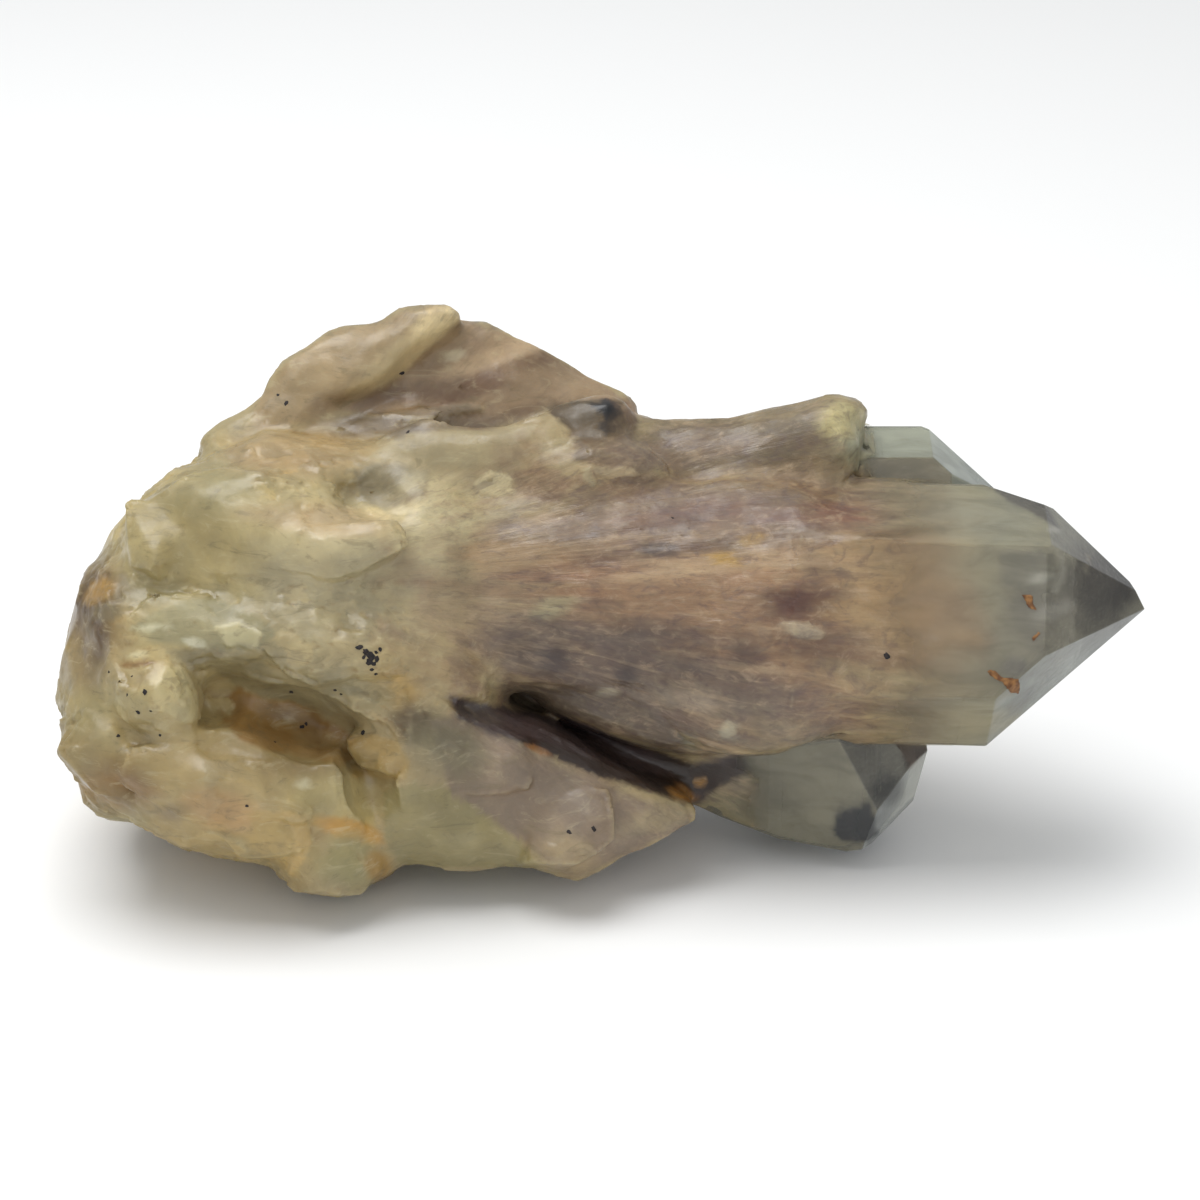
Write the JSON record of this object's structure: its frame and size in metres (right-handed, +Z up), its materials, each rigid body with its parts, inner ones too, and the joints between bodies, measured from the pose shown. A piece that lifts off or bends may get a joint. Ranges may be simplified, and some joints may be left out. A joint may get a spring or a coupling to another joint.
{
  "type": "quartz crystal cluster",
  "caption": "Rough cluster of pale smoky yellow quartz: a stout pointed crystal with a clear tip, and smaller crystals and plates beside it, growing from a milky broken root.",
  "frame": {"origin": "centre of the bounding box, on the plane that the specimen rests on", "axes": "+X along the length towards the big crystal's tip, -Y towards the shown side, +Z up as it rests"},
  "size_m": [0.1498, 0.072, 0.0735],
  "materials": {
    "quartz": "milky to smoky quartz, glossy on crystal faces, satin where broken, with rust stains"
  },
  "bodies": {
    "root": {"citrine_cluster": "quartz"}
  },
  "joints": []
}
